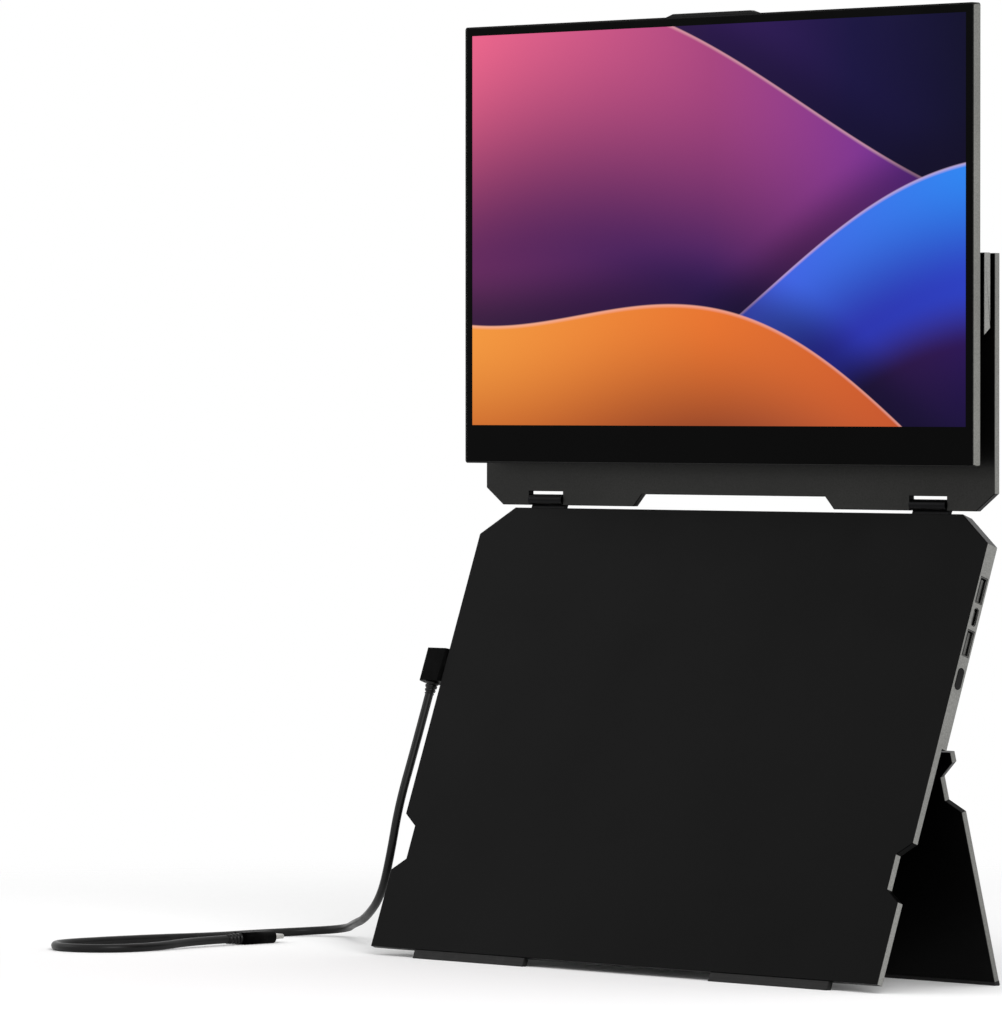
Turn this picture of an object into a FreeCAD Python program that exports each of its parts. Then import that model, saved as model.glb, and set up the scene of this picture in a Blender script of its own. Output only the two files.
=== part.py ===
import FreeCAD, Part
import math
import os

# Portable second screen on a folding stand, millimetres.
# The stand is drawn about the lower hinge axis, then moved so that the origin
# is on the table under the middle of the object. X is width, Y is depth and
# runs away from the user, Z is up.

# Display
active_width = 344.2
active_height = 193.6
side_bezel = 5.2
top_bezel = 4.5
chin = 18.9
screen_bottom = 18.1
screen_thickness = 5.0
screen_corner = 1.5
cover_rim = 0.9
cover_wall = 0.8
cover_chamfer = 0.6
glass_thickness = 0.8
lcd_thickness = 1.3
backlight_thickness = 1.1
layer_gap = 0.05
panel_margin = 2.0
display_board_width = 220.0
display_board_lift = 1.5
display_board_gap = 1.0
driver_chip_width = 14.0
driver_chip_height = 7.0
driver_chip_lift = 2.0
driver_chip_places = (-60.0, 0.0, 55.0)
chip_thickness = 0.9
lip_width = 64.0
lip_height = 1.5
lip_taper = 5.0
lip_thickness = 3.0

# Carrier plate behind the display, and the gaps between the stacked plates
spacer_thickness = 2.2
spacer_width = 62.0
spacer_height = 24.0
spacer_x = 88.0
spacer_drop = 1.0
spacer_corner = 3.0
spacer_floor = 0.4
spacer_screw_inset = 8.0
carrier_thickness = 4.0
carrier_height = 38.6
carrier_edge_bevel = 3.0
carrier_edge_blunt = 0.6
carrier_screw_sink = 0.2
carrier_screw_head = 0.9
carrier_screw_tip = 0.6
carrier_head_room = 1.2
carrier_arm_gap = 3.0
carrier_above_arm_top = 0.2

# Arm plate
arm_thickness = 3.2
arm_top = 118.3
arm_bottom = 2.7
arm_chamfer_rise = 8.4
arm_chamfer_run = 12.3
notch_half_width = 64.0
notch_top = 3.3
knuckle_side = 43.9
knuckle_slot = 24.6
arm_slot_top = 4.2
side_gap = 0.3

# Pins and barrels
running_gap = 0.05
lower_barrel_radius = 2.7
lower_pin_radius = 0.8
upper_barrel_radius = 2.4
upper_pin_radius = 0.9
pin_seat = 10.0
lower_leaf_thickness = 2.2
lower_leaf_length = 22.0
upper_leaf_thickness = 1.2
upper_leaf_height = 17.0
outer_knuckle = 12.0
barrel_lift = 0.2

# Stand base, leaning back parallel to the lid that rests on its front
lean_deg = 19.7
base_front = 0.1
base_thickness = 6.8
lower_thickness = 3.4
base_top = 4.2
corner_side = 18.4
corner_slope = 1.5
base_bottom = 233.9
recess_top = 118.4
front_wall = 1.0
side_wall = 3.0
cover_seat = 1.6
rear_cover_thickness = 1.0
cover_gap = 0.15
cavity_end = 99.0
cover_screw_inner = 55.0
cover_screw_side = 14.3
cover_screw_head = 0.55
cover_screw_tip = 0.9
cover_head_room = 0.6
cover_screw_rows = (17.0, 91.0)
grip_top = 165.3
grip_bottom = 194.2
grip_depth = 9.0
grip_chamfer = 6.0
foot_x = 105.0
foot_length = 80.0
foot_inset = 0.3

# Kickstand
open_deg = 35.0
kick_thickness = 3.1
kick_gap = 0.3
kick_axis = 109.9
kick_panel_start = 9.2
kick_tab_x = 110.0
kick_tab_width = 24.0
kick_pin_radius = 0.7
kick_pad_height = 2.4
pad_flat = 0.6
kick_notch_start = 5.0
kick_notch_in = 12.5
kick_notch_out = 24.0
kick_notch_end = 29.3
kick_notch_depth = 9.6

# Electronics in the base
usb_a_upper = 40.65
usb_c_right = 53.75
usb_a_lower = 66.7
button_place = 84.1
usb_c_left = 85.0
usb_a_length = 12.4
usb_a_height = 4.3
usb_a_depth = 13.0
usb_c_length = 8.9
usb_c_height = 3.1
usb_c_depth = 7.5
socket_wall = 0.3
socket_inset = 0.3
socket_gap = 0.1
board_thickness = 1.0
board_lift = 1.6
board_edge_gap = 0.4
hub_board_width = 84.0
hub_board_top = 28.0
hub_board_bottom = 92.0
inlet_board_width = 30.0
inlet_board_top = 70.0
inlet_board_bottom = 94.0
boss_radius = 2.6
board_screw_inset = 5.0
hub_screw_from_side = 26.0
hub_chips = ((-12.0, 48.0, 9.0), (8.0, 62.0, 6.0), (-18.0, 70.0, 5.0))
ribbon_top = 77.0
ribbon_bottom = 84.0
ribbon_thickness = 0.3
ribbon_on_inlet = 8.0
ribbon_on_hub = 12.0
screw_radius = 0.9
screw_head_radius = 1.7
screw_slot_width = 0.5
screw_slot_length = 2.2
screw_slot_depth = 0.5
board_screw_head = 0.8
cover_hole_gap = 0.15
board_hole_gap = 0.15
boss_gap = 0.3
button_length = 10.2
button_width = 3.8
button_gap = 0.2
button_proud = 0.3
button_flange = 0.7
button_travel = 0.5
flange_length = 12.0
flange_width = 4.2
switch_gap = 0.3
switch_length = 6.0
switch_width = 3.4
switch_back = 3.5
switch_front = 0.8
switch_foot_back = 6.4
switch_foot_thickness = 0.8
plunger_radius = 1.1
plunger_seat = 0.4
switch_notch_depth = 6.0
switch_notch_length = 13.0

# Cord and its plugs
cord_diameter = 4.2
plug_reach = 16.1
plug_width = 8.4
plug_height = 17.0
plug_above_port = 6.0
plug_stand_off = 0.4
plug_corner = 2.2
relief_length = 6.0
relief_radius = 3.4
cord_out = 10.0
cord_first_run = 29.0
nose_length = 6.5
nose_wide = 8.2
nose_thick = 2.4
nose_wall = 0.4
straight_plug_length = 20.0
straight_plug_wide = 11.0
straight_plug_thick = 6.2
straight_relief_length = 9.0

V = FreeCAD.Vector
X_DIR = V(1, 0, 0)

half_width = active_width / 2 + side_bezel
screen_height = active_height + top_bezel + chin
knuckle_x = half_width - knuckle_side
arm_front = -arm_thickness / 2
carrier_rear = arm_front - carrier_arm_gap
carrier_front = carrier_rear - carrier_thickness
screen_rear = carrier_front - spacer_thickness
screen_front = screen_rear - screen_thickness
carrier_top = arm_top + carrier_above_arm_top
upper_axis_y = arm_front - carrier_arm_gap / 2
upper_axis_z = carrier_top + upper_barrel_radius + barrel_lift
base_rear = base_front + base_thickness
base_middle = base_front + base_thickness / 2
recess_floor = base_front + lower_thickness
kick_front = recess_floor + kick_gap
kick_rear = kick_front + kick_thickness
kick_axis_y = kick_front + kick_thickness / 2


def box(x0, x1, y0, y1, z0, z1):
    return Part.makeBox(x1 - x0, y1 - y0, z1 - z0, V(x0, y0, z0))


def rod_x(radius, x0, x1, y, z):
    return Part.makeCylinder(radius, x1 - x0, V(x0, y, z), X_DIR)


def rod_y(radius, y0, y1, x, z):
    return Part.makeCylinder(radius, y1 - y0, V(x, y0, z), V(0, 1, 0))


def plate(outline, y0, y1):
    """Closed outline of (x, z) points, as a plate from y0 to y1."""
    points = [V(x, y0, z) for x, z in outline]
    wire = Part.makePolygon(points + points[:1])
    return Part.Face(wire).extrude(V(0, y1 - y0, 0))


def bar_x(profile, x0, x1):
    """Closed profile of (y, z) points, as a bar from x0 to x1."""
    points = [V(x0, y, z) for y, z in profile]
    wire = Part.makePolygon(points + points[:1])
    return Part.Face(wire).extrude(V(x1 - x0, 0, 0))


def pill_x(length, width, x0, x1, y, z):
    """Bar along X whose section is a slot with round ends, long way up."""
    r = width / 2
    h = length / 2 - r
    edges = [
        Part.LineSegment(V(x0, y - r, z - h), V(x0, y - r, z + h)).toShape(),
        Part.Arc(V(x0, y - r, z + h), V(x0, y, z + h + r), V(x0, y + r, z + h)).toShape(),
        Part.LineSegment(V(x0, y + r, z + h), V(x0, y + r, z - h)).toShape(),
        Part.Arc(V(x0, y + r, z - h), V(x0, y, z - h - r), V(x0, y - r, z - h)).toShape(),
    ]
    return Part.Face(Part.Wire(edges)).extrude(V(x1 - x0, 0, 0))


def mirrored(shape):
    return shape.mirror(V(0, 0, 0), X_DIR)


def both_sides(shape):
    """The same piece on the right and on the left, as two solids."""
    return Part.makeCompound([shape, mirrored(shape)])


def inset_outline(outline, distance):
    points = [V(x, 0, z) for x, z in outline]
    wire = Part.makePolygon(points + points[:1])
    smaller = Part.Face(wire).makeOffset2D(-distance, 2)
    return [(v.X, v.Z) for v in smaller.OuterWire.OrderedVertexes]


def lean(shape):
    """From the base's own upright frame to its place, leaning back."""
    placed = shape.copy()
    placed.rotate(V(0, 0, 0), X_DIR, -lean_deg)
    return placed


def open_kick(shape):
    """From the closed kickstand in the base's frame to its open place."""
    placed = shape.copy()
    placed.rotate(V(0, kick_axis_y, -kick_axis), X_DIR, open_deg)
    return lean(placed)


def lean_point(x, y, z):
    return FreeCAD.Rotation(X_DIR, -lean_deg).multVec(V(x, y, z))


def round_edges(shape, radius, direction):
    """Fillets every straight edge that runs along the given direction."""
    chosen = []
    for edge in shape.Edges:
        if edge.Curve.TypeId != "Part::GeomLine":
            continue
        if abs(abs(edge.tangentAt(edge.FirstParameter).dot(direction)) - 1) < 1e-6:
            chosen.append(edge)
    return shape.makeFillet(radius, chosen)


# Display

def make_screen_cover():
    """Tray with a thin rim that holds the panel stack from behind."""
    z0 = screen_bottom
    z1 = screen_bottom + screen_height
    tray = box(-half_width, half_width, screen_front, screen_rear, z0, z1)
    tray = round_edges(tray, screen_corner, V(0, 1, 0))
    inner = box(-half_width + cover_rim, half_width - cover_rim, screen_front - 1,
                screen_rear - cover_wall, z0 + cover_rim, z1 - cover_rim)
    tray = tray.cut(inner)
    rear_edges = [e for e in tray.Edges if e.BoundBox.YMin > screen_rear - 0.01]
    return tray.makeChamfer(cover_chamfer, rear_edges)


def screen_layer(margin_side, z0, z1, front, thickness):
    """One flat layer of the panel stack, set in from the rim."""
    half = half_width - cover_rim - margin_side
    return box(-half, half, screen_front + front, screen_front + front + thickness, z0, z1)


def make_cover_glass():
    z0 = screen_bottom + cover_rim + layer_gap
    z1 = screen_bottom + screen_height - cover_rim - layer_gap
    return screen_layer(layer_gap, z0, z1, 0.0, glass_thickness)


panel_low = screen_bottom + chin - panel_margin
panel_high = screen_bottom + screen_height - top_bezel + panel_margin


def make_lcd():
    return screen_layer(panel_margin, panel_low, panel_high,
                        glass_thickness + layer_gap, lcd_thickness)


def make_backlight():
    front = glass_thickness + lcd_thickness + 2 * layer_gap
    return screen_layer(panel_margin, panel_low, panel_high, front, backlight_thickness)


def make_display_board():
    """Driver board in the chin, seated on the tray's rear wall."""
    y1 = screen_rear - cover_wall
    y0 = y1 - board_thickness
    z0 = screen_bottom + cover_rim + display_board_lift
    board = box(-display_board_width / 2, display_board_width / 2, y0, y1,
                z0, panel_low - display_board_gap)
    half = driver_chip_width / 2
    low = z0 + driver_chip_lift
    chips = [box(x - half, x + half, y0 - chip_thickness, y0, low, low + driver_chip_height)
             for x in driver_chip_places]
    return board.multiFuse(chips).removeSplitter()


def make_finger_lip():
    """Finger grip on the top edge, tapered at both ends."""
    z = screen_bottom + screen_height
    a = lip_width / 2
    outline = [(-a, z), (a, z), (a - lip_taper, z + lip_height), (-a + lip_taper, z + lip_height)]
    return plate(outline, screen_front, screen_front + lip_thickness)


# Carrier and arm

def make_carrier():
    z1 = carrier_top
    z0 = z1 - carrier_height
    b = carrier_edge_bevel
    blunt = carrier_edge_blunt
    profile = [(carrier_front, z0), (carrier_rear - blunt, z0 + b),
               (carrier_rear, z0 + b + blunt), (carrier_rear, z1), (carrier_front, z1)]
    head_floor = carrier_rear - carrier_head_room
    body = bar_x(profile, -half_width, half_width)
    for x, z in carrier_screw_places():
        body = body.cut(rod_y(screw_radius + 0.1, carrier_front - 1, carrier_rear + 1, x, z))
        body = body.cut(rod_y(screw_head_radius + 0.1, head_floor, carrier_rear + 1, x, z))
    return body


def spacer_centre():
    return spacer_x, carrier_top - carrier_height / 2 - spacer_drop


def carrier_screw_places():
    x, z = spacer_centre()
    reach = spacer_width / 2 - spacer_screw_inset
    places = []
    for sx in (-1, 1):
        for dx in (-reach, reach):
            places.append((sx * (x + dx), z))
    return places


def make_spacers():
    x, z = spacer_centre()
    pad = box(x - spacer_width / 2, x + spacer_width / 2, screen_rear, carrier_front,
              z - spacer_height / 2, z + spacer_height / 2)
    pad = round_edges(pad, spacer_corner, V(0, 1, 0))
    for sx, sz in carrier_screw_places():
        if sx > 0:
            pad = pad.cut(rod_y(screw_radius + running_gap, screen_rear + spacer_floor,
                                carrier_front + 1, sx, sz))
    return both_sides(pad)


def screw_y(x, z, head_y, head_height, tip_y, direction):
    """Screw along Y whose head lies between head_y and head_y less its height."""
    y0, y1 = sorted((head_y, head_y - direction * head_height))
    head = rod_y(screw_head_radius, y0, y1, x, z)
    w = screw_slot_width / 2
    h = screw_slot_length / 2
    b0, b1 = sorted((head_y, head_y - direction * screw_slot_depth))
    socket = box(x - w, x + w, b0, b1, z - h, z + h)
    s0, s1 = sorted((tip_y, head_y - direction * head_height / 2))
    return head.fuse(rod_y(screw_radius, s0, s1, x, z)).cut(socket).removeSplitter()


def make_carrier_screws():
    screws = []
    for x, z in carrier_screw_places():
        screws.append(screw_y(x, z, carrier_rear - carrier_screw_sink, carrier_screw_head,
                              screen_rear + carrier_screw_tip, 1))
    return Part.makeCompound(screws)


def make_arm():
    """Folding arm plate: hinge slots and a wide notch in its lower edge."""
    w = half_width
    low = -arm_bottom
    n = notch_half_width
    flare = notch_top - low
    right = [(n, notch_top), (n + flare, low), (w - arm_chamfer_run, low),
             (w, low + arm_chamfer_rise), (w, arm_top)]
    left = [(-x, z) for x, z in reversed(right)]
    body = plate(right + left, arm_front, -arm_front)
    for side in (-1, 1):
        x = side * knuckle_x
        slot = box(x - knuckle_slot / 2, x + knuckle_slot / 2, arm_front - 1, -arm_front + 1,
                   low - 1, arm_slot_top)
        reach = knuckle_slot / 2 + pin_seat + 0.2
        bore = rod_x(lower_pin_radius + running_gap, x - reach, x + reach, 0, 0)
        body = body.cut(slot).cut(bore)
    return body


# Lower hinge: a barrel on the base in each slot of the arm

def make_lower_leaves():
    """Barrel with a leaf that runs down inside the base's front wall."""
    half = knuckle_slot / 2 - side_gap
    x0 = knuckle_x - half
    x1 = knuckle_x + half
    y0 = base_front + front_wall
    y1 = y0 + lower_leaf_thickness
    leaf = bar_x([(y0, 0), (y0, -lower_leaf_length), (y1, -lower_leaf_length), (y1, 0)], x0, x1)
    barrel = rod_x(lower_barrel_radius, x0, x1, 0, 0)
    piece = barrel.fuse(leaf).removeSplitter()
    piece = piece.cut(rod_x(lower_pin_radius + running_gap, x0 - 1, x1 + 1, 0, 0))
    return both_sides(lean(piece))


def make_lower_pins():
    reach = knuckle_slot / 2 + pin_seat
    return both_sides(rod_x(lower_pin_radius, knuckle_x - reach, knuckle_x + reach, 0, 0))


# Upper hinge: leaves in the gap between the arm and the carrier

def upper_leaf(y0, y1, knuckles, clear_spans):
    """Leaf at x = knuckle_x with barrel parts over some spans and room for the others."""
    half = knuckle_slot / 2 + outer_knuckle
    z0 = upper_axis_z - upper_leaf_height
    leaf = box(knuckle_x - half, knuckle_x + half, y0, y1, z0, upper_axis_z)
    for a, b in clear_spans:
        leaf = leaf.cut(rod_x(upper_barrel_radius + side_gap, knuckle_x + a, knuckle_x + b,
                              upper_axis_y, upper_axis_z))
    for a, b in knuckles:
        leaf = leaf.fuse(rod_x(upper_barrel_radius, knuckle_x + a, knuckle_x + b,
                               upper_axis_y, upper_axis_z))
    leaf = leaf.cut(rod_x(upper_pin_radius + running_gap, knuckle_x - half - 1,
                          knuckle_x + half + 1, upper_axis_y, upper_axis_z))
    return both_sides(leaf.removeSplitter())


def upper_spans():
    half = knuckle_slot / 2
    end = half + outer_knuckle
    g = side_gap / 2
    middle = [(-half + g, half - g)]
    outer = [(-end, -half - g), (half + g, end)]
    return middle, outer


def make_upper_arm_leaves():
    middle, outer = upper_spans()
    room = [(a - side_gap, b + side_gap) for a, b in middle]
    return upper_leaf(arm_front - upper_leaf_thickness, arm_front, outer, room)


def make_upper_carrier_leaves():
    middle, outer = upper_spans()
    room = [(a - side_gap, b + side_gap) for a, b in outer]
    return upper_leaf(carrier_rear, carrier_rear + upper_leaf_thickness, middle, room)


def make_upper_pins():
    half = knuckle_slot / 2 + outer_knuckle
    return both_sides(rod_x(upper_pin_radius, knuckle_x - half, knuckle_x + half,
                            upper_axis_y, upper_axis_z))


# Base, in its own upright frame with the lower hinge axis at the origin

def base_upper_outline(bottom):
    """Upper part of the base: both top corners are cut off at an angle."""
    run = (corner_side - base_top) * corner_slope
    return [(-half_width, -bottom), (half_width, -bottom), (half_width, -corner_side),
            (half_width - run, -base_top), (-half_width + run, -base_top),
            (-half_width, -corner_side)]


def base_full_outline():
    """Whole base: as the upper part, with a finger grip in each side edge."""
    right = [(half_width, -base_bottom), (half_width, -grip_bottom),
             (half_width - grip_depth, -grip_bottom + grip_chamfer),
             (half_width - grip_depth, -grip_top - grip_chamfer),
             (half_width, -grip_top)]
    run = (corner_side - base_top) * corner_slope
    right += [(half_width, -corner_side), (half_width - run, -base_top)]
    left = [(-x, z) for x, z in reversed(right)]
    return right + left


def board_boss_places():
    x1 = half_width - side_wall - board_edge_gap
    inset = board_screw_inset
    hub = [(x, z) for z in (-hub_board_top - inset, -hub_board_bottom + inset)
           for x in (x1 - hub_board_width + inset, x1 - hub_screw_from_side)]
    inlet_x = -x1 + inlet_board_width - inset
    inlet = [(inlet_x, -inlet_board_top - inset), (inlet_x, -inlet_board_bottom + inset)]
    return hub + inlet


def cover_screw_places():
    across = (cover_screw_inner, half_width - cover_screw_side)
    return [(side * x, -z) for side in (-1, 1) for x in across for z in cover_screw_rows]


def make_base_housing():
    upper = plate(base_upper_outline(recess_top), base_front, base_rear)
    body = upper.fuse(plate(base_full_outline(), base_front, recess_floor)).removeSplitter()
    cavity_floor = base_front + front_wall
    cover_floor = base_rear - rear_cover_thickness
    cavity = inset_outline(base_upper_outline(cavity_end), side_wall)
    seat = inset_outline(base_upper_outline(cavity_end), cover_seat)
    body = body.cut(plate(cavity, cavity_floor, base_rear + 1))
    body = body.cut(plate(seat, cover_floor, base_rear + 1))
    bosses = []
    for x, z in board_boss_places():
        bosses.append(rod_y(boss_radius, cavity_floor, cavity_floor + board_lift, x, z))
    for x, z in cover_screw_places():
        bosses.append(rod_y(boss_radius, cavity_floor, cover_floor, x, z))
    body = body.multiFuse(bosses)
    for x, z in board_boss_places():
        body = body.cut(rod_y(screw_radius + running_gap, cavity_floor, cover_floor, x, z))
    for x, z in cover_screw_places():
        body = body.cut(rod_y(screw_radius + running_gap, cavity_floor + 0.5, base_rear, x, z))
    for side in (-1, 1):
        body = body.cut(hinge_slot_in_top(side * knuckle_x, cavity_floor))
        body = body.cut(kick_pocket(side * kick_tab_x))
    outside = half_width + 1
    inside = half_width - side_wall - 1
    for place in (usb_a_upper, usb_a_lower):
        body = body.cut(box(inside, outside, base_middle - usb_a_height / 2 - socket_gap,
                            base_middle + usb_a_height / 2 + socket_gap,
                            -place - usb_a_length / 2 - socket_gap,
                            -place + usb_a_length / 2 + socket_gap))
    for x0, x1, place in ((inside, outside, usb_c_right), (-outside, -inside, usb_c_left)):
        body = body.cut(pill_x(usb_c_length + 2 * socket_gap, usb_c_height + 2 * socket_gap,
                               x0, x1, base_middle, -place))
    body = body.cut(pill_x(button_length + 2 * button_gap, button_width + 2 * button_gap,
                           inside, outside, base_middle, -button_place))
    return lean(body)


def hinge_slot_in_top(x, y0):
    half = knuckle_slot / 2
    return box(x - half, x + half, y0, y0 + lower_leaf_thickness + side_gap,
               -base_top - side_wall - 1, 0)


def kick_pocket(x):
    """Room for one kickstand tab, with the pin's bore in its two cheeks."""
    half = kick_tab_width / 2 + side_gap
    top = -kick_axis + kick_thickness / 2 + 0.6
    pocket = box(x - half, x + half, recess_floor, base_rear + 1, -recess_top - 1, top)
    reach = half + pin_seat + 0.2
    bore = rod_x(kick_pin_radius + running_gap, x - reach, x + reach, kick_axis_y, -kick_axis)
    return pocket.fuse(bore)


def make_base_cover():
    outline = inset_outline(base_upper_outline(cavity_end), cover_seat + cover_gap)
    y0 = base_rear - rear_cover_thickness
    body = plate(outline, y0, base_rear)
    for x, z in cover_screw_places():
        body = body.cut(rod_y(screw_radius + cover_hole_gap, y0 - 1, base_rear + 1, x, z))
        body = body.cut(rod_y(screw_head_radius + 0.1, base_rear - cover_head_room,
                              base_rear + 1, x, z))
    return lean(body)


def make_cover_screws():
    screws = []
    for x, z in cover_screw_places():
        screws.append(screw_y(x, z, base_rear, cover_screw_head,
                              base_front + front_wall + cover_screw_tip, 1))
    return lean(Part.makeCompound(screws))


board_y = base_front + front_wall + board_lift


def board_holes(board, screws):
    """Holes for the board's own screws, and room for the cover's bosses."""
    for x, z in screws:
        board = board.cut(rod_y(screw_radius + board_hole_gap, board_y - 1, board_y + 2, x, z))
    for x, z in cover_screw_places():
        board = board.cut(rod_y(boss_radius + boss_gap, board_y - 1, board_y + 2, x, z))
    return board


def make_hub_board():
    """Board for the right-hand ports, cut out round each mid-mounted socket."""
    x1 = half_width - side_wall - board_edge_gap
    board = box(x1 - hub_board_width, x1, board_y, board_y + board_thickness,
                -hub_board_bottom, -hub_board_top)
    for place, length, depth in ((usb_a_upper, usb_a_length, usb_a_depth),
                                 (usb_a_lower, usb_a_length, usb_a_depth),
                                 (usb_c_right, usb_c_length, usb_c_depth)):
        reach = depth - side_wall + 0.4
        board = board.cut(box(x1 - reach, x1 + 1, board_y - 1, board_y + 2,
                              -place - length / 2 - 0.2, -place + length / 2 + 0.2))
    board = board.cut(box(x1 - switch_notch_depth, x1 + 1, board_y - 1, board_y + 2,
                          -button_place - switch_notch_length / 2,
                          -button_place + switch_notch_length / 2))
    return lean(board_holes(board, board_boss_places()[:4]))


def make_inlet_board():
    x0 = -half_width + side_wall + board_edge_gap
    board = box(x0, x0 + inlet_board_width, board_y, board_y + board_thickness,
                -inlet_board_bottom, -inlet_board_top)
    reach = usb_c_depth - side_wall + 0.4
    board = board.cut(box(x0 - 1, x0 + reach, board_y - 1, board_y + 2,
                          -usb_c_left - usb_c_length / 2 - 0.2,
                          -usb_c_left + usb_c_length / 2 + 0.2))
    return lean(board_holes(board, board_boss_places()[4:]))


def make_board_screws():
    screws = []
    for x, z in board_boss_places():
        screws.append(screw_y(x, z, board_y + board_thickness + board_screw_head,
                              board_screw_head, base_front + front_wall + 0.2, 1))
    return lean(Part.makeCompound(screws))


def make_board_ribbon():
    """Flat cable that joins the two boards, lying on both."""
    y0 = board_y + board_thickness
    x0 = -half_width + side_wall + board_edge_gap + inlet_board_width - ribbon_on_inlet
    x1 = half_width - side_wall - board_edge_gap - hub_board_width + ribbon_on_hub
    return lean(box(x0, x1, y0, y0 + ribbon_thickness, -ribbon_bottom, -ribbon_top))


def make_hub_chips():
    y0 = board_y + board_thickness
    x = half_width - side_wall - board_edge_gap - hub_board_width / 2
    chips = []
    for off, place, side in hub_chips:
        half = side / 2
        chips.append(box(x + off - half, x + off + half, y0, y0 + chip_thickness,
                         -place - half, -place + half))
    return lean(Part.makeCompound(chips))


def make_usb_a(place):
    """Socket shell with its contact tongue, open towards +X."""
    x1 = half_width - socket_inset
    x0 = x1 - usb_a_depth
    y0 = base_middle - usb_a_height / 2
    y1 = base_middle + usb_a_height / 2
    z0 = -place - usb_a_length / 2
    z1 = -place + usb_a_length / 2
    w = socket_wall
    shell = box(x0, x1, y0, y1, z0, z1).cut(box(x0 + 1.5, x1 + 1, y0 + w, y1 - w, z0 + w, z1 - w))
    tongue = box(x0 + 1, x1 - 1.2, y0 + 1.9, y0 + 3.3, z0 + 0.9, z1 - 0.9)
    return lean(shell.fuse(tongue).removeSplitter())


def make_usb_c(place):
    """Small oval socket with its thin tongue, open towards +X."""
    x1 = half_width - socket_inset
    x0 = x1 - usb_c_depth
    w = socket_wall
    shell = pill_x(usb_c_length, usb_c_height, x0, x1, base_middle, -place)
    bore = pill_x(usb_c_length - 2 * w, usb_c_height - 2 * w, x0 + 1, x1 + 1, base_middle, -place)
    tongue = box(x0 + 0.5, x1 - 1, base_middle - 0.35, base_middle + 0.35, -place - 3.2, -place + 3.2)
    return lean(shell.cut(bore).fuse(tongue).removeSplitter())


def make_usb_c_left():
    upright = make_usb_c(usb_c_left)
    return mirrored(upright)


def make_power_switch():
    """Tactile switch on the board's edge, just behind the button."""
    x1 = half_width - side_wall - button_flange - button_travel - switch_gap
    y = base_middle
    w = switch_width / 2
    z0 = -button_place - switch_length / 2
    z1 = -button_place + switch_length / 2
    foot_y = board_y + board_thickness
    body = box(x1 - switch_back, x1 - switch_front, y - w, y + w, z0, z1)
    foot = box(x1 - switch_foot_back, x1 - switch_back, foot_y,
               foot_y + switch_foot_thickness, z0, z1)
    plunger = rod_x(plunger_radius, x1 - switch_front - plunger_seat, x1, y, -button_place)
    return lean(body.fuse(plunger).fuse(foot).removeSplitter())


def make_power_button():
    """Pill-shaped button in the side wall, kept in by a flange."""
    wall_in = half_width - side_wall
    cap = pill_x(button_length, button_width, wall_in - 0.2, half_width + button_proud,
                 base_middle, -button_place)
    flange = box(wall_in - button_flange, wall_in - 0.1, base_middle - flange_width / 2,
                 base_middle + flange_width / 2, -button_place - flange_length / 2,
                 -button_place + flange_length / 2)
    return lean(cap.fuse(flange).removeSplitter())


# Kickstand, drawn closed in the base's frame

def make_kick_plate():
    top = -kick_axis - kick_panel_start
    bottom = -base_bottom + kick_pad_height
    inner = half_width - kick_notch_depth
    right = [(half_width, bottom), (half_width, top - kick_notch_end),
             (inner, top - kick_notch_out), (inner, top - kick_notch_in),
             (half_width, top - kick_notch_start), (half_width, top)]
    left = [(-x, z) for x, z in reversed(right)]
    body = plate(right + left, kick_front, kick_rear)
    for side in (-1, 1):
        x0 = side * kick_tab_x - kick_tab_width / 2
        x1 = side * kick_tab_x + kick_tab_width / 2
        tab = box(x0, x1, kick_front, kick_rear, top, -kick_axis)
        end = rod_x(kick_thickness / 2, x0, x1, kick_axis_y, -kick_axis)
        bore = rod_x(kick_pin_radius + running_gap, x0 - 1, x1 + 1, kick_axis_y, -kick_axis)
        body = body.fuse(tab).fuse(end).cut(bore)
    return open_kick(body.removeSplitter())


def make_kick_pins():
    reach = kick_tab_width / 2 + side_gap + pin_seat
    pin = rod_x(kick_pin_radius, kick_tab_x - reach, kick_tab_x + reach, kick_axis_y, -kick_axis)
    return both_sides(lean(pin))


def table_level():
    """Height of the table under the hinge axis: the kickstand's lower front corner."""
    corner = V(0, kick_front, -base_bottom)
    centre = V(0, kick_axis_y, -kick_axis)
    turned = FreeCAD.Rotation(X_DIR, open_deg).multVec(corner - centre) + centre
    return FreeCAD.Rotation(X_DIR, -lean_deg).multVec(turned).z + pad_flat


def above_table(shape):
    """Cuts a foot off flat where it meets the table."""
    return shape.cut(box(-500, 500, -500, 500, table_level() - 50, table_level()))


def make_kick_pad():
    pad = box(-half_width, half_width, kick_front, kick_rear,
              -base_bottom, -base_bottom + kick_pad_height)
    return above_table(open_kick(pad))


def make_base_feet():
    foot = box(foot_x - foot_length / 2, foot_x + foot_length / 2, base_front + foot_inset,
               recess_floor - foot_inset, -base_bottom - 12, -base_bottom)
    return both_sides(above_table(lean(foot)))


# Cord with an angled plug at the base and a straight plug at its free end

plug_top = usb_c_left - plug_above_port
plug_bottom = plug_top + plug_height
cord_x = -half_width - cord_out


def make_angled_plug():
    x1 = -half_width - plug_stand_off
    x0 = x1 - plug_reach
    y0 = base_middle - plug_width / 2
    y1 = base_middle + plug_width / 2
    body = box(x0, x1, y0, y1, -plug_bottom, -plug_top)
    body = round_edges(body, plug_corner, V(0, 0, 1))
    return lean(body)


def make_angled_nose():
    """Metal shell of the angled plug, inside the left-hand socket."""
    x0 = -half_width - plug_stand_off
    outer = pill_x(nose_wide, nose_thick, x0, x0 + nose_length, base_middle, -usb_c_left)
    inner = pill_x(nose_wide - 2 * nose_wall, nose_thick - 2 * nose_wall, x0 + 0.6,
                   x0 + nose_length + 1, base_middle, -usb_c_left)
    return lean(outer.cut(inner))


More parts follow.
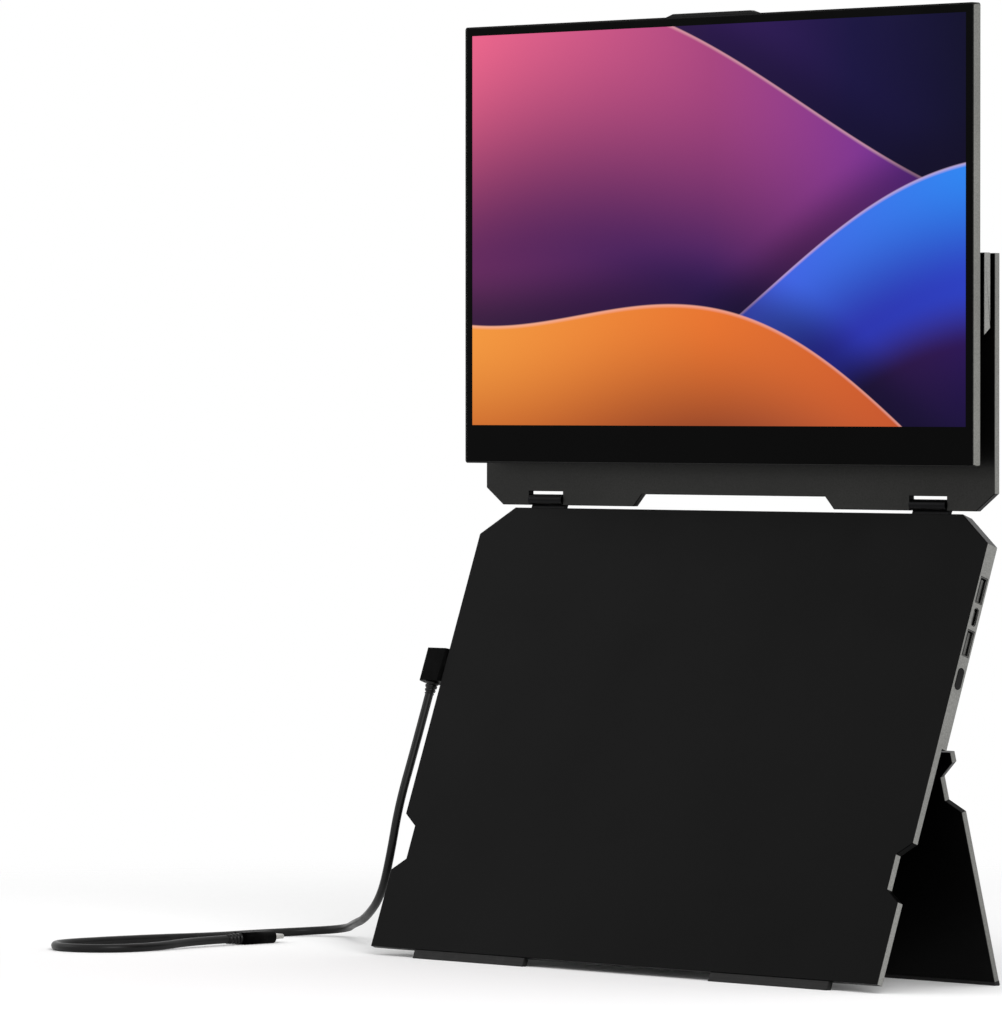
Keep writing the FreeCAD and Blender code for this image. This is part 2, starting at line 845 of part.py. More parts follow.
def make_angled_relief():
    cone = Part.makeCone(cord_diameter / 2 + 0.3, relief_radius, relief_length,
                         V(cord_x, base_middle, -plug_bottom - relief_length), V(0, 0, 1))
    return lean(cone)


def cord_points(shift):
    """The cord's route: down beside the base, out over the table and back."""
    exit_z = -plug_bottom - relief_length
    start = lean_point(cord_x, base_middle, exit_z) + shift
    straight = lean_point(cord_x, base_middle, exit_z - cord_first_run) + shift
    r = cord_diameter / 2
    rest = [
        (-188.6, -12.6, 73.0), (-192.0, -18.0, 48.0),
        (-202.0, -13.0, 29.0), (-224.0, 4.0, 17.0), (-254.0, 25.0, 8.5),
        (-285.0, 38.0, 3.6), (-308.0, 25.0, r), (-311.0, -2.0, r),
        (-309.0, -32.0, r), (-318.0, -62.0, r), (-322.0, -98.0, r),
        (-320.0, -128.0, r), (-297.0, -142.0, r), (-273.0, -129.0, r),
        (-270.0, -101.0, r), (-276.0, -74.0, straight_plug_thick / 2),
        (-277.0, -50.0, straight_plug_thick / 2),
    ]
    return [start, straight] + [V(*p) for p in rest]


def cord_path(points):
    """Straight runs joined by arcs; returns the wire and the arc radii."""
    edges = []
    radii = []
    last = points[0]
    for before, corner, after in zip(points, points[1:], points[2:]):
        a = (before - corner).normalize()
        b = (after - corner).normalize()
        shorter = min((before - corner).Length, (after - corner).Length)
        back = 0.45 * shorter
        half_turn = (math.pi - a.getAngle(b)) / 2
        radius = back / math.tan(half_turn)
        radii.append(radius)
        p = corner + a * back
        q = corner + b * back
        bisector = (a + b).normalize()
        middle = corner + bisector * (radius / math.cos(half_turn) - radius)
        edges.append(Part.LineSegment(last, p).toShape())
        edges.append(Part.Arc(p, middle, q).toShape())
        last = q
    edges.append(Part.LineSegment(last, points[-1]).toShape())
    return Part.Wire(edges), radii


def make_cord(points):
    path, radii = cord_path(points)
    ring = Part.makeCircle(cord_diameter / 2, points[0], points[1] - points[0])
    tube = path.makePipeShell([Part.Wire(ring)], True, True)
    expected = math.pi * cord_diameter ** 2 / 4 * path.Length
    print("cord length %.1f, volume over expected %.4f" % (path.Length, tube.Volume / expected))
    print("cord radii " + " ".join("%.0f" % r for r in radii))
    return tube


def straight_plug_frame(points):
    """Where the free plug starts, and the level direction that it points."""
    end = points[-1]
    along = end - points[-2]
    along.z = 0
    return end, along.normalize()


def place_free_plug(shape, points):
    """From lying along +X at the origin to the cord's end."""
    end, along = straight_plug_frame(points)
    placed = shape.copy()
    placed.rotate(V(0, 0, 0), V(0, 0, 1), math.degrees(math.atan2(along.y, along.x)))
    placed.translate(end)
    return placed


def make_free_relief(points):
    cone = Part.makeCone(cord_diameter / 2 + 0.3, straight_plug_thick / 2 - 0.2,
                         straight_relief_length, V(0, 0, 0), X_DIR)
    return place_free_plug(cone, points)


def make_free_plug(points):
    t = straight_plug_thick / 2
    w = straight_plug_wide / 2
    body = box(straight_relief_length, straight_relief_length + straight_plug_length, -w, w, -t, t)
    body = round_edges(body, t - 0.4, X_DIR)
    return place_free_plug(body, points)


def make_free_nose(points):
    x0 = straight_relief_length + straight_plug_length
    outer = pill_x(nose_wide, nose_thick, x0, x0 + nose_length, 0, 0)
    inner = pill_x(nose_wide - 2 * nose_wall, nose_thick - 2 * nose_wall, x0 + 0.6,
                   x0 + nose_length + 1, 0, 0)
    nose = outer.cut(inner)
    nose.rotate(V(0, 0, 0), X_DIR, 90)
    return place_free_plug(nose, points)


pieces = {
    "base_housing": make_base_housing(),
    "base_rear_cover": make_base_cover(),
    "base_cover_screw": make_cover_screws(),
    "base_foot": make_base_feet(),
    "hub_board": make_hub_board(),
    "hub_chip": make_hub_chips(),
    "inlet_board": make_inlet_board(),
    "board_ribbon": make_board_ribbon(),
    "board_screw": make_board_screws(),
    "usb_a_port_upper": make_usb_a(usb_a_upper),
    "usb_a_port_lower": make_usb_a(usb_a_lower),
    "usb_c_port_right": make_usb_c(usb_c_right),
    "usb_c_port_left": make_usb_c_left(),
    "power_switch": make_power_switch(),
    "power_button": make_power_button(),
    "lower_hinge_leaf": make_lower_leaves(),
    "lower_hinge_pin": make_lower_pins(),
    "arm_plate": make_arm(),
    "upper_hinge_arm_leaf": make_upper_arm_leaves(),
    "upper_hinge_carrier_leaf": make_upper_carrier_leaves(),
    "upper_hinge_pin": make_upper_pins(),
    "carrier_plate": make_carrier(),
    "carrier_spacer": make_spacers(),
    "carrier_screw": make_carrier_screws(),
    "screen_rear_cover": make_screen_cover(),
    "display_board": make_display_board(),
    "backlight": make_backlight(),
    "lcd_panel": make_lcd(),
    "cover_glass": make_cover_glass(),
    "finger_lip": make_finger_lip(),
    "kickstand_plate": make_kick_plate(),
    "kickstand_pin": make_kick_pins(),
    "kickstand_foot_pad": make_kick_pad(),
}

# The origin goes to the table, under the middle of the object's depth
whole = Part.makeCompound(list(pieces.values())).BoundBox
shift = V(0, -(whole.YMin + whole.YMax) / 2, -table_level())
for shape in pieces.values():
    shape.translate(shift)

route = cord_points(shift)
for name, shape in (("angled_plug_body", make_angled_plug()),
                    ("angled_plug_nose", make_angled_nose()),
                    ("angled_plug_relief", make_angled_relief())):
    shape.translate(shift)
    pieces[name] = shape
pieces["display_cord"] = make_cord(route)
pieces["free_plug_relief"] = make_free_relief(route)
pieces["free_plug_body"] = make_free_plug(route)
pieces["free_plug_nose"] = make_free_nose(route)

os.makedirs("parts", exist_ok=True)
for name, shape in pieces.items():
    if not shape.isValid():
        print("not valid: " + name)
    shape.exportStep("parts/" + name + ".step")

lower_axis = shift
upper_axis = V(0, upper_axis_y, upper_axis_z) + shift
kick_axis_point = lean_point(0, kick_axis_y, -kick_axis) + shift
print("lower hinge axis", lower_axis)
print("upper hinge axis", upper_axis)
print("kickstand axis", kick_axis_point)
for point in route:
    print("route %.1f %.1f %.1f" % (point.x, point.y, point.z))
everything = Part.makeCompound(list(pieces.values())).BoundBox
print("nodes", len(pieces), "box", everything)
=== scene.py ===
import math

import bmesh
import bpy
from mathutils import Matrix, Vector


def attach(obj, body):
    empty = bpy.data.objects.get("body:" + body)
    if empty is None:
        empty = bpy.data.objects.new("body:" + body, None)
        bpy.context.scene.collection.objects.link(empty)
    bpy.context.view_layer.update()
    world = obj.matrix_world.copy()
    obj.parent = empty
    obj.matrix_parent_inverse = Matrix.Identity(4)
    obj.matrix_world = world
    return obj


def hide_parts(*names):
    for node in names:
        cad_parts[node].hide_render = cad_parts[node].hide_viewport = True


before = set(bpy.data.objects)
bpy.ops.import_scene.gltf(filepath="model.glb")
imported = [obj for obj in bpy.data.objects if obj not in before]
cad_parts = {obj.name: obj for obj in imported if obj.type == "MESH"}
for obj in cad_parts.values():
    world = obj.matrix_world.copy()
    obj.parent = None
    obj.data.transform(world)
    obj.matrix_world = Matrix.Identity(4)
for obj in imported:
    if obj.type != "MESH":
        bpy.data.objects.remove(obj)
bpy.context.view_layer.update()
bpy.context.scene.view_settings.view_transform = "Standard"

# Camera. A long lens from far off, at the display's height and to its right,
# so that the upright edges stay upright in the picture.
CAMERA_PLACE = (2.81504, -2.66671, 0.27630)
CAMERA_BELOW_LEVEL = math.radians(0.827)
CAMERA_ROUND = math.radians(47.81)
LENS_MM = 283.39
SENSOR_MM = 36
lens_data = bpy.data.cameras.new("camera")
lens_data.sensor_width = SENSOR_MM
lens_data.lens = LENS_MM
lens_data.clip_end = 60
camera = bpy.data.objects.new("camera", lens_data)
camera.location = CAMERA_PLACE
camera.rotation_euler = (math.radians(90) - CAMERA_BELOW_LEVEL, 0, CAMERA_ROUND)
bpy.context.scene.collection.objects.link(camera)
bpy.context.scene.camera = camera

# Display cord. A round cable with an extruded elastomer jacket, moulded at one end to an
# angled plug and at the other to a straight one. It hangs from the socket in the base's left
# edge, runs out over the table and comes back in a wide turn.
CORD_DIAMETER = 0.0042
CORD_ROUTE = (
    (-0.1873, 0.006383, 0.127475), (-0.1873, -0.003393, 0.100173), (-0.1886, -0.0126, 0.0730),
    (-0.1908, -0.0167, 0.0465), (-0.2018, -0.0130, 0.0262), (-0.2285, 0.0000, 0.0135),
    (-0.2590, 0.0190, 0.0087), (-0.2860, 0.0380, 0.0040), (-0.3080, 0.0250, 0.0021),
    (-0.3110, -0.0020, 0.0021), (-0.3090, -0.0320, 0.0021), (-0.3180, -0.0620, 0.0021),
    (-0.3220, -0.0980, 0.0021), (-0.3200, -0.1280, 0.0021), (-0.2970, -0.1420, 0.0021),
    (-0.2730, -0.1290, 0.0021), (-0.2700, -0.1010, 0.0021), (-0.2760, -0.0740, 0.0031),
    (-0.2770, -0.0500, 0.0031),
)


def linear(hex_colour):
    """An sRGB hex colour as the linear RGBA that a shader socket takes."""
    channels = [int(hex_colour[i:i + 2], 16) / 255 for i in (1, 3, 5)]
    return [c / 12.92 if c <= 0.04045 else ((c + 0.055) / 1.055) ** 2.4 for c in channels] + [1.0]


def add(finish, kind, *feeds, inputs=None, **settings):
    """Adds one node. A feed is a link from another node's socket, or a value set on the socket."""
    node = finish.node_tree.nodes.new("ShaderNode" + kind)
    for name, value in settings.items():
        setattr(node, name, value)
    for socket, feed in [*enumerate(feeds), *(inputs or {}).items()]:
        if isinstance(feed, bpy.types.Node):
            feed = feed.outputs[0]
        if isinstance(feed, bpy.types.NodeSocket):
            finish.node_tree.links.new(feed, node.inputs[socket])
        elif feed is not None:
            node.inputs[socket].default_value = feed
    return node


def new_finish(name):
    finish = bpy.data.materials.new(name)
    finish.use_nodes = True
    finish.node_tree.nodes.clear()
    return finish


def moulded_finish(name, colour, worn, roughness, grain_mm, depth_mm, gloss=0.12):
    """Moulded or extruded polymer: a fine spark-eroded grain, and patches rubbed a little lighter."""
    finish = new_finish(name)
    place = add(finish, "TexCoord").outputs["Object"]
    grain = add(finish, "TexNoise", place, inputs={"Scale": 1000 / grain_mm, "Detail": 3.0})
    patches = add(finish, "TexNoise", place, inputs={"Scale": 90.0, "Detail": 4.0})
    rubbed = add(finish, "MapRange", patches, 0.45, 0.75, 0.0, 1.0)
    colours = add(finish, "Mix", data_type="RGBA",
                  inputs={0: rubbed, 6: linear(colour), 7: linear(worn)}).outputs[2]
    sheen = add(finish, "MapRange", patches, 0.3, 0.7, roughness - 0.06, roughness + 0.06)
    bump = add(finish, "Bump", inputs={"Height": grain, "Strength": 0.6,
                                       "Distance": depth_mm / 1000})
    shader = add(finish, "BsdfPrincipled",
                 inputs={"Base Color": colours, "Roughness": sheen, "IOR": 1.5,
                         "Specular IOR Level": gloss, "Normal": bump})
    add(finish, "OutputMaterial", shader)
    return finish


# TPE jacket, extruded through a matt die: near black, with a soft satin highlight
jacket_finish = moulded_finish("tpe_cord_jacket", "#090909", "#121211", 0.38, 0.5, 0.02, 0.22)
line = bpy.data.curves.new("display_cord_tube", "CURVE")
line.dimensions = "3D"
line.resolution_u = 16
line.bevel_depth = CORD_DIAMETER / 2
line.bevel_resolution = 6
line.use_fill_caps = True
spline = line.splines.new("NURBS")
spline.points.add(len(CORD_ROUTE) - 1)
for control, place in zip(spline.points, CORD_ROUTE):
    control.co = (*place, 1)
spline.order_u = 3
spline.use_endpoint_u = True
line.materials.append(jacket_finish)
cord = bpy.data.objects.new("display_cord_tube", line)
bpy.context.scene.collection.objects.link(cord)
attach(cord, "base")
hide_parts("display_cord")


def piece_from(shape, name, finish, body):
    """Turns a finished bmesh into a piece that rides on a body."""
    mesh = bpy.data.meshes.new(name)
    shape.to_mesh(mesh)
    shape.free()
    mesh.materials.append(finish)
    piece = bpy.data.objects.new(name, mesh)
    bpy.context.scene.collection.objects.link(piece)
    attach(piece, body)
    return piece


# Strain reliefs. Soft TPE sleeves moulded over the cord where it enters each plug, tapered and
# grooved all round so that they bend evenly.
GROOVE_DEPTH = 0.00045


def grooved_relief(name, start, along, length, wide, narrow, grooves):
    """A tapered sleeve, turned from a profile of (distance along, radius) points."""
    shape = bmesh.new()
    profile = [(0.0, 0.0), (0.0, wide)]
    for i in range(grooves):
        for share, depth in ((0.35, 0), (0.45, GROOVE_DEPTH), (0.75, GROOVE_DEPTH), (0.85, 0)):
            t = (i + share) / grooves
            profile.append((t * length, wide + (narrow - wide) * t - depth))
    profile += [(length, narrow), (length, 0.0)]
    verts = [shape.verts.new((0, r, x)) for x, r in profile]
    edges = [shape.edges.new(pair) for pair in zip(verts, verts[1:])]
    bmesh.ops.spin(shape, geom=verts + edges, cent=(0, 0, 0), axis=(0, 0, 1),
                   angle=2 * math.pi, steps=32, use_merge=True)
    bmesh.ops.remove_doubles(shape, verts=shape.verts, dist=1e-6)
    bmesh.ops.recalc_face_normals(shape, faces=shape.faces)
    turn = Vector(along).to_track_quat("Z", "Y").to_matrix().to_4x4()
    bmesh.ops.transform(shape, matrix=Matrix.Translation(start) @ turn, verts=shape.verts)
    for face in shape.faces:
        face.smooth = True
    return piece_from(shape, name, jacket_finish, "base")


angled_relief = grooved_relief("angled_plug_sleeve", (-0.1873, 0.008406, 0.133124),
                               (0, -0.3371, -0.9415), 0.006, 0.0034, 0.0024, 3)
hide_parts("angled_plug_relief")
free_relief = grooved_relief("free_plug_sleeve", (-0.277375, -0.041008, 0.0031),
                             (0.04163, -0.99913, 0), 0.009, 0.0029, 0.0024, 4)
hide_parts("free_plug_relief")


# Plug bodies. Overmoulded ABS grips in two halves; the angled one stands close along the base's
# left edge and turns the cord downwards. Their edges are well rounded.
# Angles between two faces, in radians
LEVEL = 0.002
CURVED = 0.02
SHARP = 0.5


def softened(node, name, finish, body, width, shortest=0.004, segments=2):
    """A CAD piece with its long edges broken, as deburring or a mould's radius leaves them."""
    shape = bmesh.new()
    shape.from_mesh(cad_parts[node].data)
    bmesh.ops.remove_doubles(shape, verts=shape.verts, dist=1e-6)
    bmesh.ops.dissolve_limit(shape, angle_limit=LEVEL, verts=shape.verts, edges=shape.edges)
    for face in shape.faces:
        face.smooth = any(CURVED < edge.calc_face_angle(0) < SHARP for edge in face.edges)
    long_edges = [edge for edge in shape.edges
                  if edge.calc_length() > shortest and edge.calc_face_angle(0) > SHARP]
    bmesh.ops.bevel(shape, geom=long_edges, offset=width, offset_type="OFFSET",
                    segments=segments, profile=0.5, affect="EDGES", clamp_overlap=False,
                    material=-1)
    piece = piece_from(shape, name, finish, body)
    for attribute in list(piece.data.attributes):
        if attribute.name == "custom_normal":
            piece.data.attributes.remove(attribute)
    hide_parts(node)
    return piece


# Moulded ABS: nearly black, with a matt spark-eroded grain and hardly any shine
plug_finish = moulded_finish("abs_plug_grip", "#050505", "#0d0d0d", 0.36, 0.6, 0.02, 0.01)
angled_plug = softened("angled_plug_body", "angled_plug_grip", plug_finish, "base",
                       0.0008, 0.003, 3)
free_plug = softened("free_plug_body", "free_plug_grip", plug_finish, "base",
                     0.0005, 0.003, 3)


# Plug shells and sockets. Deep-drawn stainless steel, nickel plated: bright, with fine lines
# along the drawing direction that spread the highlight.
def steel_finish(name, colour, roughness, line_mm, along):
    finish = new_finish(name)
    place = add(finish, "TexCoord").outputs["Object"]
    stretch = [40.0 if axis != along else 1.0 for axis in "xyz"]
    drawn = add(finish, "Mapping", place, inputs={"Scale": stretch})
    lines = add(finish, "TexNoise", drawn, inputs={"Scale": 25 / line_mm, "Detail": 4.0})
    patches = add(finish, "TexNoise", place, inputs={"Scale": 220.0, "Detail": 3.0})
    tone = add(finish, "MapRange", patches, 0.3, 0.7, 0.82, 1.0)
    colours = add(finish, "Mix", data_type="RGBA", blend_type="MULTIPLY",
                  inputs={0: 1.0, 6: linear(colour), 7: tone}).outputs[2]
    sheen = add(finish, "MapRange", lines, 0.3, 0.7, roughness - 0.07, roughness + 0.07)
    bump = add(finish, "Bump", inputs={"Height": lines, "Strength": 0.3, "Distance": 0.00002})
    shader = add(finish, "BsdfPrincipled", inputs={"Base Color": colours, "Metallic": 1.0,
                                                   "Roughness": sheen, "Normal": bump})
    add(finish, "OutputMaterial", shader)
    return finish


# Nickel plate on drawn steel: a warm silver with a soft streaked highlight
nickel_finish = steel_finish("nickel_plated_steel", "#b9b8b4", 0.28, 0.2, "x")
for node in ("angled_plug_nose", "free_plug_nose"):
    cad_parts[node].material_slots[0].material = nickel_finish

# Base housing. A machined aluminium plate, thick over the electronics and thin where the
# kickstand folds in behind, bead blasted, anodised black and then edge milled to a satin grey;
# that grey is brightened as a painted highlight, and the front face and cuts are darkened as painted
# shade.
LEAN = math.radians(19.7)
BASE_NORMAL = (0, math.cos(LEAN), -math.sin(LEAN))
# A face turned sideways this far from the middle is an outer edge, not the side of a slot
OUTER_EDGE = 0.158


def anodised_finish(name, normal, front_and_shade, rear, side_and_highlight, cut_and_shade):
    """Bead-blasted black anodised aluminium: two faces, of which the front may carry painted shade;
    outer sides paler, partly from milling and partly as a painted highlight; cuts darker, near black
    as painted shade on most plates.
    """
    finish = new_finish(name)
    where = add(finish, "TexCoord")
    # A face counts as front or rear, or as a side, where the cosine to that direction nears 1
    facing = add(finish, "VectorMath", where.outputs["Normal"], normal, operation="DOT_PRODUCT")
    flat = add(finish, "Math", facing.outputs["Value"], operation="ABSOLUTE")
    is_face = add(finish, "MapRange", flat, 0.9, 0.97, 0.0, 1.0)
    is_rear = add(finish, "Math", facing.outputs["Value"], 0.0, operation="GREATER_THAN")
    sideways = add(finish, "VectorMath", where.outputs["Normal"], (1, 0, 0),
                   operation="DOT_PRODUCT")
    turned = add(finish, "Math", sideways.outputs["Value"], operation="ABSOLUTE")
    is_side = add(finish, "MapRange", turned, 0.8, 0.95, 0.0, 1.0)
    across = add(finish, "SeparateXYZ", where.outputs["Object"]).outputs["X"]
    off_middle = add(finish, "Math", across, operation="ABSOLUTE")
    outer = add(finish, "Math", off_middle, OUTER_EDGE, operation="GREATER_THAN")
    # Mask for the outer sides, whose grey is partly the milled edge and partly a painted highlight
    milled_and_highlight = add(finish, "Math", is_side, outer, operation="MULTIPLY")
    # Front colour, set darker as painted shade on some plates
    face = add(finish, "Mix", data_type="RGBA",
               inputs={0: is_rear, 6: linear(front_and_shade), 7: linear(rear)}).outputs[2]
    # Cut colour on slot walls, edges and notches, near black as painted shade on most plates
    body = add(finish, "Mix", data_type="RGBA",
               inputs={0: is_face, 6: linear(cut_and_shade), 7: face}).outputs[2]
    body = add(finish, "Mix", data_type="RGBA",
               inputs={0: milled_and_highlight, 6: body, 7: linear(side_and_highlight)}).outputs[2]
    # The blasting leaves pits of about 0.1 mm, drawn here at 0.7 mm so that they show
    pits = add(finish, "TexNoise", where.outputs["Object"],
               inputs={"Scale": 1400.0, "Detail": 2.0, "Roughness": 0.6})
    cloud = add(finish, "TexNoise", where.outputs["Object"], inputs={"Scale": 14.0, "Detail": 3.0})
    shade = add(finish, "MapRange", cloud, 0.3, 0.7, 0.86, 1.12)
    speck = add(finish, "MapRange", pits, 0.3, 0.7, 0.82, 1.18)
    tone = add(finish, "Math", shade, speck, operation="MULTIPLY")
    colours = add(finish, "Mix", data_type="RGBA", blend_type="MULTIPLY",
                  inputs={0: 1.0, 6: body, 7: tone}).outputs[2]
    sheen = add(finish, "MapRange", cloud, 0.3, 0.7, 0.38, 0.48)
    bump = add(finish, "Bump", inputs={"Height": pits, "Strength": 0.35, "Distance": 0.00003})
    shader = add(finish, "BsdfPrincipled", inputs={"Base Color": colours, "Metallic": 1.0,
                                                   "Roughness": sheen, "Normal": bump})
    add(finish, "OutputMaterial", shader)
    return finish


# Anodised aluminium, blasted: a soft black, with satin grey where the outer edges were milled,
# brightened as a painted highlight; the front face and the cuts are near black as painted shade
base_finish = anodised_finish("anodised_aluminium_base", BASE_NORMAL,
                              "#070707", "#272726", "#8c8c89", "#060606")
housing = softened("base_housing", "base_shell", base_finish, "base", 0.0003)

# Rear cover and its screws. A stamped 1 mm aluminium lid set flush into the housing, held by
# eight small countersunk screws of blackened steel with a six-lobed recess.
cover = softened("base_rear_cover", "base_lid", base_finish, "base", 0.0002)
# Chemically blackened steel: darker than the plates, with a faint oily sheen
black_steel_finish = steel_finish("blackened_steel", "#101011", 0.36, 0.2, "x")
LOWER_HINGE = Vector((0, 0.03747187, 0.22468520))
DOWN_THE_BASE = Vector((0, -math.sin(LEAN), -math.cos(LEAN)))
REAR_FACE = 0.0069
SCREW_COLUMNS = (-0.163, -0.055, 0.055, 0.163)
SCREW_ROWS = (0.017, 0.091)
HEAD_ACROSS = 0.0034
# As shares of the head's diameter
RIM_WIDTH = 0.06
RIM_DROP = 0.08
LAND_WIDTH = 0.16
RECESS_DEPTH = 0.18
SKIRT_DEPTH = 0.1
# Every other pair of the recess's 24 corners is drawn in by this share, which leaves six lobes
LOBE_INSET = 0.28
screw_heads = bmesh.new()
out = Vector(BASE_NORMAL)
turn = out.to_track_quat("Z", "X").to_matrix().to_4x4()
for x in SCREW_COLUMNS:
    for row in SCREW_ROWS:
        centre = LOWER_HINGE + Vector((x, 0, 0)) + DOWN_THE_BASE * row + out * REAR_FACE
        disc = bmesh.ops.create_circle(screw_heads, cap_ends=True, segments=24,
                                       radius=HEAD_ACROSS / 2,
                                       matrix=Matrix.Translation(centre) @ turn)["verts"]
        face = disc[0].link_faces[0]
        if face.normal.dot(out) < 0:
            face.normal_flip()
        bmesh.ops.inset_individual(screw_heads, faces=[face], thickness=HEAD_ACROSS * RIM_WIDTH)
        bmesh.ops.translate(screw_heads, verts=disc, vec=-out * HEAD_ACROSS * RIM_DROP)
        bmesh.ops.inset_individual(screw_heads, faces=[face], thickness=HEAD_ACROSS * LAND_WIDTH)
        for i, vert in enumerate(face.verts):
            if i % 4 < 2:
                vert.co = vert.co.lerp(centre, LOBE_INSET)
        lobes = bmesh.ops.extrude_discrete_faces(screw_heads, faces=[face])["faces"][0]
        bmesh.ops.translate(screw_heads, verts=lobes.verts, vec=-out * HEAD_ACROSS * RECESS_DEPTH)
        rim = []
        for vert in disc:
            rim += [edge for edge in vert.link_edges if edge.is_boundary and edge not in rim]
        skirt = bmesh.ops.extrude_edge_only(screw_heads, edges=rim)["geom"]
        bmesh.ops.translate(screw_heads, vec=-out * HEAD_ACROSS * SKIRT_DEPTH,
                            verts=[v for v in skirt if isinstance(v, bmesh.types.BMVert)])
lid_screws = piece_from(screw_heads, "base_lid_screws", black_steel_finish, "base")
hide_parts("base_cover_screw")

# Base feet. Two strips of moulded silicone rubber bonded under the lower edge, with fine ribs
# along them so that they grip the table.
# Moulded silicone: dull black, a little dusty, ribbed
rubber_finish = new_finish("silicone_rubber")
place = add(rubber_finish, "TexCoord").outputs["Object"]
ribs = add(rubber_finish, "TexWave", place, inputs={"Scale": 200.0, "Distortion": 0.4},
           bands_direction="Z")
dust = add(rubber_finish, "TexNoise", place, inputs={"Scale": 300.0, "Detail": 4.0})
dusty = add(rubber_finish, "MapRange", dust, 0.5, 0.8, 0.0, 0.6)
colours = add(rubber_finish, "Mix", data_type="RGBA",
              inputs={0: dusty, 6: linear("#0c0c0c"), 7: linear("#222120")}).outputs[2]
sheen = add(rubber_finish, "MapRange", dust, 0.3, 0.7, 0.7, 0.85)
bump = add(rubber_finish, "Bump", inputs={"Height": ribs, "Strength": 0.5, "Distance": 0.0001})
shader = add(rubber_finish, "BsdfPrincipled", inputs={"Base Color": colours, "Roughness": sheen,
                                                      "IOR": 1.41, "Normal": bump})
add(rubber_finish, "OutputMaterial", shader)
softened("base_foot", "base_foot_strips", rubber_finish, "base", 0.0003)

# Circuit boards. Glass-epoxy boards under a green solder mask that is thinner over the copper
# tracks, so those show as lighter lines on a 2 mm grid; screwed to the housing's bosses.
# Solder mask on woven glass: deep green and glossy, with lighter tracks
board_finish = new_finish("fr4_solder_mask")
place = add(board_finish, "TexCoord").outputs["Object"]
tracks = add(board_finish, "TexBrick", place,
             inputs={"Scale": 250.0, "Mortar Size": 0.08, "Color1": linear("#0a3a20"),
                     "Color2": linear("#0b4425"), "Mortar": linear("#2c6b3e")})
weave = add(board_finish, "TexNoise", place, inputs={"Scale": 1500.0})
bump = add(board_finish, "Bump", inputs={"Height": weave, "Strength": 0.2, "Distance": 0.00002})
sheen = add(board_finish, "MapRange", weave, 0.3, 0.7, 0.3, 0.4)
shader = add(board_finish, "BsdfPrincipled", inputs={"Base Color": tracks.outputs["Color"],
                                                     "Roughness": sheen, "IOR": 1.5,
                                                     "Normal": bump})
add(board_finish, "OutputMaterial", shader)
for node in ("hub_board", "inlet_board", "display_board"):
    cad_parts[node].material_slots[0].material = board_finish
# Moulded epoxy: charcoal and matt
chip_finish = moulded_finish("epoxy_chip", "#161616", "#232323", 0.5, 0.3, 0.01)
for node in ("hub_chip", "board_ribbon", "power_switch"):
    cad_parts[node].material_slots[0].material = chip_finish
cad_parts["board_screw"].material_slots[0].material = nickel_finish

# Sockets. Drawn steel shells let into the base's right and left edges and soldered to the
# boards, each with a grey contact tongue, seen only as a dark mouth with a paler lip.
# Tin plate, darkened as painted shade: a dull grey lip
shaded_socket_finish = steel_finish("tin_plated_steel_shell_shaded", "#6f6f6d", 0.34, 0.2, "x")
for node in ("usb_a_port_upper", "usb_a_port_lower", "usb_c_port_right", "usb_c_port_left"):
    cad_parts[node].material_slots[0].material = shaded_socket_finish

# Power button. A pill of moulded polycarbonate with a satin top, held behind the base's right
# edge by its flange, and pushed out by the switch on the board.
# Moulded polycarbonate: a smoother, slightly shinier black than the plate round it
button_finish = moulded_finish("polycarbonate_button", "#0d0d0d", "#161616", 0.33, 0.5, 0.015)
softened("power_button", "power_button_cap", button_finish, "power_button",
         0.0002, 0.0005)

# Hinges. Turned steel barrels and leaves, chemically blackened; the pins are ground bright and
# show only at the barrels' ends.
for node in ("lower_hinge_leaf", "upper_hinge_arm_leaf", "upper_hinge_carrier_leaf"):
    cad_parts[node].material_slots[0].material = black_steel_finish
for node in ("lower_hinge_pin", "upper_hinge_pin", "kickstand_pin"):
    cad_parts[node].material_slots[0].material = nickel_finish

# Kickstand. A 3 mm aluminium plate with two hinge tabs and a finger notch in each side edge,
# anodised black, with a rubber strip pressed over its lower edge.
OPEN = math.radians(15.3)
# Front darker as painted shade, as it faces down towards the base; sides paler, partly milled and
# partly a painted highlight; cuts dark as painted shade
kick_finish = anodised_finish("anodised_aluminium_kickstand", (0, math.cos(OPEN), math.sin(OPEN)),
                              "#0f0f0f", "#272726", "#7c7c79", "#121212")
softened("kickstand_plate", "kickstand", kick_finish, "kickstand", 0.0003)
softened("kickstand_foot_pad", "kickstand_foot_strip", rubber_finish, "kickstand",
         0.0003)

# Arm. A 3.2 mm aluminium plate that stands on the base's barrels, with a wide notch for a
# finger in its lower edge and both lower corners cut off.
# Front in the finish's own colour; sides paler, partly milled and partly a painted highlight; cuts
# near black as painted shade in the notch and hinge slots
arm_finish = anodised_finish("anodised_aluminium_arm", (0, 1, 0),
                             "#2a2a29", "#272726", "#82827f", "#080808")
softened("arm_plate", "arm", arm_finish, "arm", 0.0003)

# Carrier. The 4 mm aluminium plate screwed to the display's back, with a bevelled lower edge,
# on two rubber spacers that let the display sit clear of it.
# Sides paler, partly milled and partly a painted highlight
carrier_finish = anodised_finish("anodised_aluminium_carrier", (0, 1, 0),
                                 "#101010", "#272726", "#959592", "#5a5a58")
softened("carrier_plate", "carrier", carrier_finish, "screen", 0.0003)
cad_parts["carrier_spacer"].material_slots[0].material = rubber_finish
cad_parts["carrier_screw"].material_slots[0].material = black_steel_finish

# Display cover and finger lip. A thin pressed aluminium tray that holds the panel from behind,
# its rim milled to a satin grey and brightened as a painted highlight; the lip is a small milled bar
# bonded to its top edge.
cover_finish = anodised_finish("anodised_aluminium_cover", (0, 1, 0),
                               "#161616", "#272726", "#83837f", "#242423")
softened("screen_rear_cover", "display_cover", cover_finish, "screen", 0.0002)
lip_finish = anodised_finish("anodised_aluminium_lip", (0, 1, 0),
                             "#1a1a1a", "#272726", "#2a2a29", "#2a2a29")
softened("finger_lip", "display_lip", lip_finish, "screen", 0.0002)

